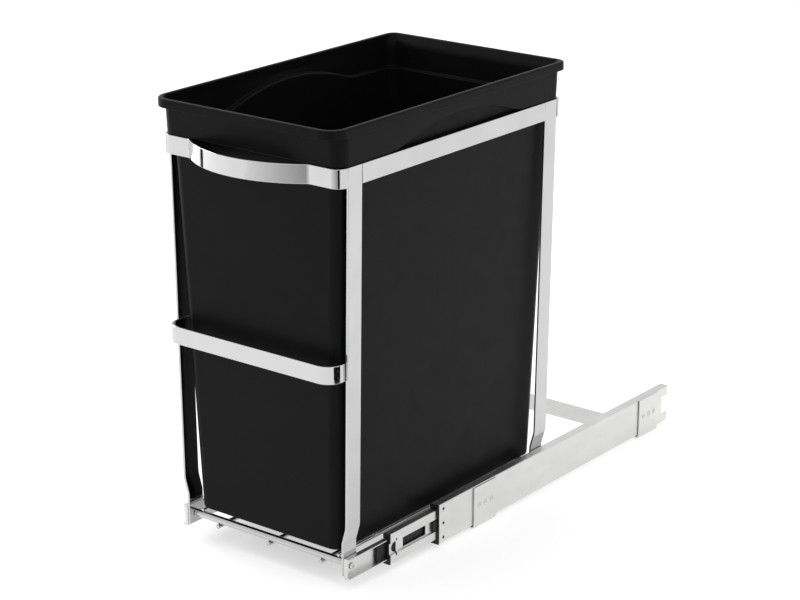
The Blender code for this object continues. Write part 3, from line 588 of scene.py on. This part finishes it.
def add_cages():
    """The cages fill the ball gaps outside and inside each intermediate member."""
    cabinet, middle = half_height("cabinet_member_right"), half_height("intermediate_member_right")
    drawer = half_height("drawer_member_right")
    middle_x = outer_x("intermediate_member_right")
    edge = CAGE_THICKNESS / 2
    outer_race = (cabinet - SHEET + middle) / 2
    outer_web = (outer_x("cabinet_member_right") - SHEET + middle_x) / 2 + edge
    outer_path = [(CAGE_LIP_X, outer_race + edge), (outer_web, outer_race + edge)]
    inner_race = (middle - SHEET + drawer) / 2
    rail, web_x = middle - INTERMEDIATE_RAIL, middle_x - SHEET - GAP
    inner_path = [(CAGE_LIP_X, inner_race + edge), (web_x, inner_race + edge),
                  (web_x, rail + CAGE_STEP), (web_x - INTERMEDIATE_RECESS, rail + GAP)]
    for side, word in SIDES:
        add_cage(f"outer_ball_cage_{word}", side, outer_path, outer_race)
        add_cage(f"inner_ball_cage_{word}", side, inner_path, inner_race)


def finish_plastic_parts():
    """The stops, buffers and blocks keep their CAD shape and get soft moulded edges."""
    for word in ("left", "right"):
        for kind in ("cabinet_stop", "intermediate_stop", "rear_buffer", "guide_block"):
            node = frame["nodes"][f"{kind}_{word}"]
            node.data.materials.clear()
            node.data.materials.append(NOSE_PLASTIC)
            bevel = node.modifiers.new("soft_edges", "BEVEL")
            bevel.width, bevel.segments, bevel.limit_method = MOULDED_EDGE, 2, "ANGLE"


# ---- strap frame -----------------------------------------------------------------------------
def add_posts():
    """Four posts that lean in towards the foot and step in above the slide."""
    foot_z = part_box("front_post_right")[LOW].z
    points = [(POST_FOOT_X, foot_z), (POST_FOOT_X, POST_FOOT_Z), (POST_BEND_X, POST_BEND_Z),
              (POST_TOP_X, RING_TOP)]
    path = list(reversed(rounded(points, (POST_FOOT_RADIUS, POST_BEND_RADIUS))))
    for end, y in zip(("front", "rear"), post_fronts()):
        for side, word in SIDES:
            name = f"{end}_post_{word}"
            add_piece(cut(strap(name, for_side(side, path), "Y"), [screw_hole(side, y)]),
                      STRAP_CHROME, name)


def bow_points():
    """Outer face of the bowed grip, left to right, with a fillet where it leaves each flat."""
    bow_y = HANDLE_Y + math.sqrt(HANDLE_BOW_RADIUS ** 2 - HANDLE_FLAT_X ** 2)
    kink_y = HANDLE_Y - HANDLE_KINK_RADIUS
    reach = HANDLE_BOW_RADIUS + HANDLE_KINK_RADIUS
    kink_x = math.sqrt(reach ** 2 - (kink_y - bow_y) ** 2)
    turn = math.asin(kink_x / reach)
    right = []
    for i in range(KINK_STEPS + 1):
        a = turn * (1 - i / KINK_STEPS)
        right.append(Vector((kink_x - HANDLE_KINK_RADIUS * math.sin(a),
                             kink_y + HANDLE_KINK_RADIUS * math.cos(a))))
    turns = [turn * i / BOW_STEPS for i in range(1 - BOW_STEPS, BOW_STEPS)]
    bow = [Vector((HANDLE_BOW_RADIUS * math.sin(a), bow_y - HANDLE_BOW_RADIUS * math.cos(a)))
           for a in turns]
    return mirrored(right) + bow + right


def add_front_handle():
    end_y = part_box("front_post_right")[LOW].y - GAP
    left = rounded([(-RING_X, end_y), (-RING_X, HANDLE_Y), (-HANDLE_FLAT_X, HANDLE_Y)],
                   (HANDLE_CORNER_RADIUS,), STRAP_CORNER_STEPS)[:-1]
    add_piece(strap("front_handle", left + bow_points() + mirrored(left)), STRAP_CHROME,
              "front_handle")


def add_top_band():
    """The rest of the ring: a rail along each side and the band round the rear."""
    for side, word in SIDES:
        name = f"side_rail_{word}"
        low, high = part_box(name)
        rail = [Vector((RING_X, low.y)), Vector((RING_X, high.y))]
        add_piece(strap(name, for_side(side, rail)), STRAP_CHROME, name)
    start_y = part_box("rear_band")[LOW].y
    band = [(RING_X, start_y), (RING_X, RING_REAR_Y), (-RING_X, RING_REAR_Y), (-RING_X, start_y)]
    path = rounded(band, (RING_REAR_RADIUS,) * 2, RING_REAR_STEPS)
    add_piece(strap("rear_band", path), STRAP_CHROME, "rear_band")


def add_guard_bar():
    low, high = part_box("front_guard_bar")
    bar = [(low.x, high.y), (low.x, low.y), (high.x, low.y), (high.x, high.y)]
    path = rounded(bar, (GUARD_RADIUS,) * 2, STRAP_CORNER_STEPS)
    add_piece(strap("front_guard_bar", path), STRAP_CHROME, "front_guard_bar")


# ---- wire tray -------------------------------------------------------------------------------
def wire_names():
    return (["tray_front_rod", "tray_rear_rod"] + [f"tray_long_wire_{i}" for i in (1, 2, 3)] +
            ["tray_side_wire_left", "tray_side_wire_right"] +
            [f"tray_cross_wire_{i}" for i in (1, 2, 3)])


def wire_axis(name):
    """Start, end and diameter of a straight wire from its box."""
    low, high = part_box(name)
    middle, size = (low + high) / 2, high - low
    along = max(range(3), key=lambda i: size[i])
    start, end = middle.copy(), middle.copy()
    start[along], end[along] = low[along], high[along]
    return start, end, size.z


def add_tray():
    for name in wire_names():
        add_piece(wire(*wire_axis(name)), WIRE_CHROME, name)


def add_screws():
    """Pan head screws with a cross recess, put in from the slide's side."""
    for end in ("front", "rear"):
        for side, word in SIDES:
            name = f"{end}_foot_screw_{word}"
            low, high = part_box(name)
            middle = (low + high) / 2
            tip, top = (low.x, high.x) if side == RIGHT else (high.x, low.x)
            length, radius = abs(top - tip), (high.z - low.z) / 2
            seat = length - SCREW_HEAD_HEIGHT
            dome = [(seat + SCREW_HEAD_HEIGHT * math.sin(a),
                     radius * (SCREW_HEAD_FLAT + (1 - SCREW_HEAD_FLAT) * math.cos(a)))
                    for a in quarter_turn(DOME_STEPS)]
            profile = [(0.0, SCREW_TIP_RADIUS), (SCREW_TIP_CHAMFER, SCREW_SHANK_RADIUS),
                       (seat, SCREW_SHANK_RADIUS)] + dome
            screw = turned((tip, middle.y, middle.z), (side, 0, 0), profile)
            x_low, x_high = sorted((top - side * CROSS_DEPTH, top + side * CROSS_DEPTH))
            bars = ((CROSS_HALF_LENGTH, CROSS_HALF_WIDTH), (CROSS_HALF_WIDTH, CROSS_HALF_LENGTH))
            recess = [block((x_low, middle.y - wide, middle.z - tall),
                            (x_high, middle.y + wide, middle.z + tall)) for wide, tall in bars]
            add_piece(cut(screw, recess), SCREW_ZINC, name)


# ---- bucket ----------------------------------------------------------------------------------
def shrunk(outline, inset):
    """The outline set in by the same amount all round."""
    half_width, front, rear, *radii = outline
    return (half_width - inset, front + inset, rear - inset,
            *(max(radius - inset, LEAST_RADIUS) for radius in radii))


def grip_rise(y):
    """How far the shoulder lifts above the ring to make the half-moon grip of a long side."""
    arc = GRIP_TOP_Z - GRIP_RADIUS + math.sqrt(GRIP_RADIUS ** 2 - (y - GRIP_MID_Y) ** 2)
    above = arc - SHOULDER_Z
    return (above + math.hypot(above, GRIP_BLEND)) / 2


def bucket_loop(level):
    """A rounded rectangle walked anticlockwise seen from above; its long sides may be lifted."""
    x, front, rear, front_radius, rear_radius, z, lifted = level
    low, high = BODY_BOTTOM[1] + BODY_BOTTOM[3], BODY_BOTTOM[2] - BODY_BOTTOM[4]
    stations = [low + (high - low) * i / BUCKET_SIDE_STEPS for i in range(1, BUCKET_SIDE_STEPS)]

    def corner(centre_y, radius, start):
        turns = [math.radians(start + 90 * i / BUCKET_CORNER_STEPS)
                 for i in range(BUCKET_CORNER_STEPS + 1)]
        return [(x - radius + radius * math.cos(a), centre_y + radius * math.sin(a), z)
                for a in turns]

    right = (corner(front + front_radius, front_radius, -90) +
             [(x, y, z + lifted * grip_rise(y)) for y in stations] +
             corner(rear - rear_radius, rear_radius, 0))
    return right + [(-px, py, pz) for px, py, pz in reversed(right)]


def bucket_levels():
    """Outline, height, lift and rounding of each corner of the wall's profile, outside to in."""
    bottom, rim_top = (corner.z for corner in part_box("bucket"))
    skirt = rim_top - SKIRT_DEPTH
    hollow_z, shoulder_foot = rim_top - RIM_HOLLOW_DEPTH, SHOULDER_Z - SHOULDER_DEPTH
    return [(shrunk(BODY_BOTTOM, BUCKET_FOOT + CAP_INSET), bottom, 0, 0),
            (BODY_BOTTOM, bottom, 0, BUCKET_FOOT),
            (BODY_TOP, shoulder_foot, 0, 0.002),
            (BODY_TOP, SHOULDER_Z, 1, 0.0012),
            (COLLAR_BOTTOM, SHOULDER_Z, 1, 0.0010),
            (COLLAR_TOP, skirt, 0, 0),
            (RIM_HOLLOW, hollow_z, 0, 0.0008),
            (shrunk(RIM, SKIRT_WALL), hollow_z, 0, 0.0008),
            (shrunk(RIM, SKIRT_WALL), skirt, 0, 0.0004),
            (RIM, skirt, 0, 0.0006),
            (RIM, rim_top, 0, RIM_CROWN),
            (shrunk(RIM, RIM_CROWN + RIM_INNER_RUN), rim_top, 0, 0.0014),
            (shrunk(COLLAR_TOP, WALL), skirt - 0.001, 0, 0.004),
            (shrunk(COLLAR_BOTTOM, WALL), SHOULDER_Z + WALL, 1, 0.0014),
            (shrunk(BODY_TOP, WALL), SHOULDER_Z + WALL, 1, 0.0012),
            (shrunk(BODY_TOP, WALL), shoulder_foot, 0, 0.002),
            (shrunk(BODY_BOTTOM, WALL), bottom + WALL, 0, BUCKET_FOOT),
            (shrunk(BODY_BOTTOM, WALL + BUCKET_FOOT + CAP_INSET), bottom + WALL, 0, 0)]


def eased(levels):
    """The profile with its corners rounded off over the reach that each level names."""
    points = [np.array((*outline, z, lifted)) for outline, z, lifted, _ in levels]
    heights = [z for _, z, _, _ in levels]

    def towards(i, j, reach):
        distance = math.hypot(points[j][0] - points[i][0], heights[j] - heights[i])
        return points[i] + (points[j] - points[i]) * min(reach / distance, EASE_LIMIT)

    profile = [points[0]]
    for i, level in enumerate(levels[1:-1], start=1):
        reach = level[3]
        if reach == 0:
            profile.append(points[i])
            continue
        start, end = towards(i, i - 1, reach), towards(i, i + 1, reach)
        for k in range(BUCKET_EASE_STEPS + 1):
            t = k / BUCKET_EASE_STEPS
            profile.append((1 - t) ** 2 * start + 2 * t * (1 - t) * points[i] + t * t * end)
    return profile + [points[-1]]


def add_bucket():
    loops = [bucket_loop(level) for level in eased(bucket_levels())]
    add_piece(loft("bucket", loops), BUCKET_PLASTIC, "bucket", sharp=50.0)


# ---- studio ----------------------------------------------------------------------------------
CAMERA_AZIMUTH, CAMERA_ELEVATION = math.radians(37.907), math.radians(18.638)
CAMERA_PLACE, CAMERA_LENS, CAMERA_SENSOR = (1.48344, -1.90087, 1.04539), 105.081, 36.0
FLOOR_SIZE, FLOOR_DROP, FLOOR_GLOW = 14.0, 0.0004, 0.55
WORLD_STRENGTH = 0.90
SOFTBOXES = (("top_softbox", (0.3, 0.4, 3.2), (0.3, 0.4, 0.0), 4.0, 22.0),
             ("left_softbox", (-2.4, -0.2, 1.6), (-1.4, -0.2, 0.0), 1.2, 34.0))


def add_camera():
    """The camera at the photo's place and angle, without roll."""
    data = bpy.data.cameras.new("photo_camera")
    data.lens, data.sensor_width = CAMERA_LENS, CAMERA_SENSOR
    camera = bpy.data.objects.new("photo_camera", data)
    bpy.context.scene.collection.objects.link(camera)
    az, el = CAMERA_AZIMUTH, CAMERA_ELEVATION
    back = Vector((math.sin(az) * math.cos(el), -math.cos(az) * math.cos(el), math.sin(el)))
    right = Vector((math.cos(az), math.sin(az), 0.0))
    turn = Matrix((right, back.cross(right), back)).transposed().to_4x4()
    camera.matrix_world = Matrix.Translation(CAMERA_PLACE) @ turn
    bpy.context.scene.camera = camera


def add_softbox(name, place_at, aim, size, power):
    data = bpy.data.lights.new(name, "AREA")
    data.shape, data.size, data.energy = "SQUARE", size, power
    light = bpy.data.objects.new(name, data)
    light.location = place_at
    light.rotation_euler = (Vector(aim) - Vector(place_at)).to_track_quat("-Z", "Y").to_euler()
    bpy.context.scene.collection.objects.link(light)


def add_floor():
    half = FLOOR_SIZE / 2
    mesh = bpy.data.meshes.new("studio_floor")
    mesh.from_pydata([(-half, -half, -FLOOR_DROP), (half, -half, -FLOOR_DROP),
                      (half, half, -FLOOR_DROP), (-half, half, -FLOOR_DROP)], [], [(0, 1, 2, 3)])
    nodes = Nodes("studio_paper")
    nodes.set(Emission_Color=(1.0, 1.0, 1.0, 1.0), Emission_Strength=FLOOR_GLOW)
    nodes.colour(nodes.noise(3.0), (0.56, 0.56, 0.56), (0.58, 0.58, 0.58))
    nodes.rough(nodes.noise(40.0), 0.85, 0.95)
    mesh.materials.append(nodes.material)
    floor = bpy.data.objects.new("studio_floor", mesh)
    bpy.context.scene.collection.objects.link(floor)


def reflection_card_glow(name, from_x, to_x, bright, dark):
    """Card whose glow, even or fading along X from a bright value to a dark one, is a painted
    reflection in the metal.
    """
    nodes = Nodes(name)
    nodes.set(Base_Color=(0.0, 0.0, 0.0, 1.0), Specular_IOR_Level=0.0, Emission_Strength=1.0)
    axes = nodes.add("ShaderNodeSeparateXYZ")
    nodes.link(nodes.place, axes.inputs["Vector"])
    fade = nodes.add("ShaderNodeMapRange")
    for socket, value in (("From Min", from_x), ("From Max", to_x), ("To Min", bright),
                          ("To Max", dark)):
        fade.inputs[socket].default_value = value
    nodes.link(axes.outputs["X"], fade.inputs["Value"])
    nodes.link(fade.outputs["Result"], nodes.shader.inputs["Emission Color"])
    return nodes.material


def add_card(name, corners, from_x=-1.0, to_x=1.0, bright=0.002, dark=0.002):
    """A card that only reflections see, set up beside bright metal to paint a reflection into it; it
    is hidden from the camera and from diffuse light, and casts no shadow.
    """
    mesh = bpy.data.meshes.new(name)
    mesh.from_pydata(corners, [], [tuple(range(len(corners)))])
    mesh.materials.append(reflection_card_glow(name, from_x, to_x, bright, dark))
    card = bpy.data.objects.new(name, mesh)
    card.visible_camera = card.visible_diffuse = card.visible_shadow = False
    bpy.context.scene.collection.objects.link(card)


def add_cards():
    """Black cards paint dark reflected lines on the strap's bends; the grey glowing card paints a
    fading reflection that shades the bow.
    """
    # painted reflection: black cards seen only in the chrome, giving dark lines on its bends
    add_card("front_dark_reflection_card", [(0.488, -0.808, 0.08), (0.680, -0.680, 0.08),
                            (0.680, -0.680, 0.34), (0.488, -0.808, 0.34)])
    add_card("right_dark_reflection_card", [(0.700, -0.440, 0.0), (0.640, 0.080, 0.0),
                            (0.640, 0.080, 0.09), (0.700, -0.440, 0.09)])
    add_card("left_dark_reflection_card", [(-1.210, -0.350, 0.0), (-1.210, -0.460, 0.0),
                           (-1.210, -0.460, 0.22), (-1.210, -0.350, 0.22)])
    # painted reflection: a glowing card on the floor, bright at the left and grey at the right, seen
    # only in the bow
    add_card("fading_reflection_card", [(-0.62, -2.40, 0.004), (1.80, -2.40, 0.004),
                             (1.80, -1.25, 0.004), (-0.62, -1.25, 0.004)],
             -0.62, 1.02, 1.14, 0.44)


def add_world():
    world = bpy.data.worlds.new("studio")
    world.use_nodes = True
    background = world.node_tree.nodes["Background"]
    background.inputs["Color"].default_value = (1.0, 1.0, 1.0, 1.0)
    background.inputs["Strength"].default_value = WORLD_STRENGTH
    bpy.context.scene.world = world
    bpy.context.scene.view_settings.view_transform = "Standard"


add_camera()
add_world()
add_floor()
add_cards()
for softbox in SOFTBOXES:
    add_softbox(*softbox)

add_floor_plates()
add_cabinet_members()
add_intermediate_members()
add_drawer_members()
add_cages()
finish_plastic_parts()
add_posts()
add_front_handle()
add_top_band()
add_guard_bar()
add_tray()
add_screws()
add_bucket()
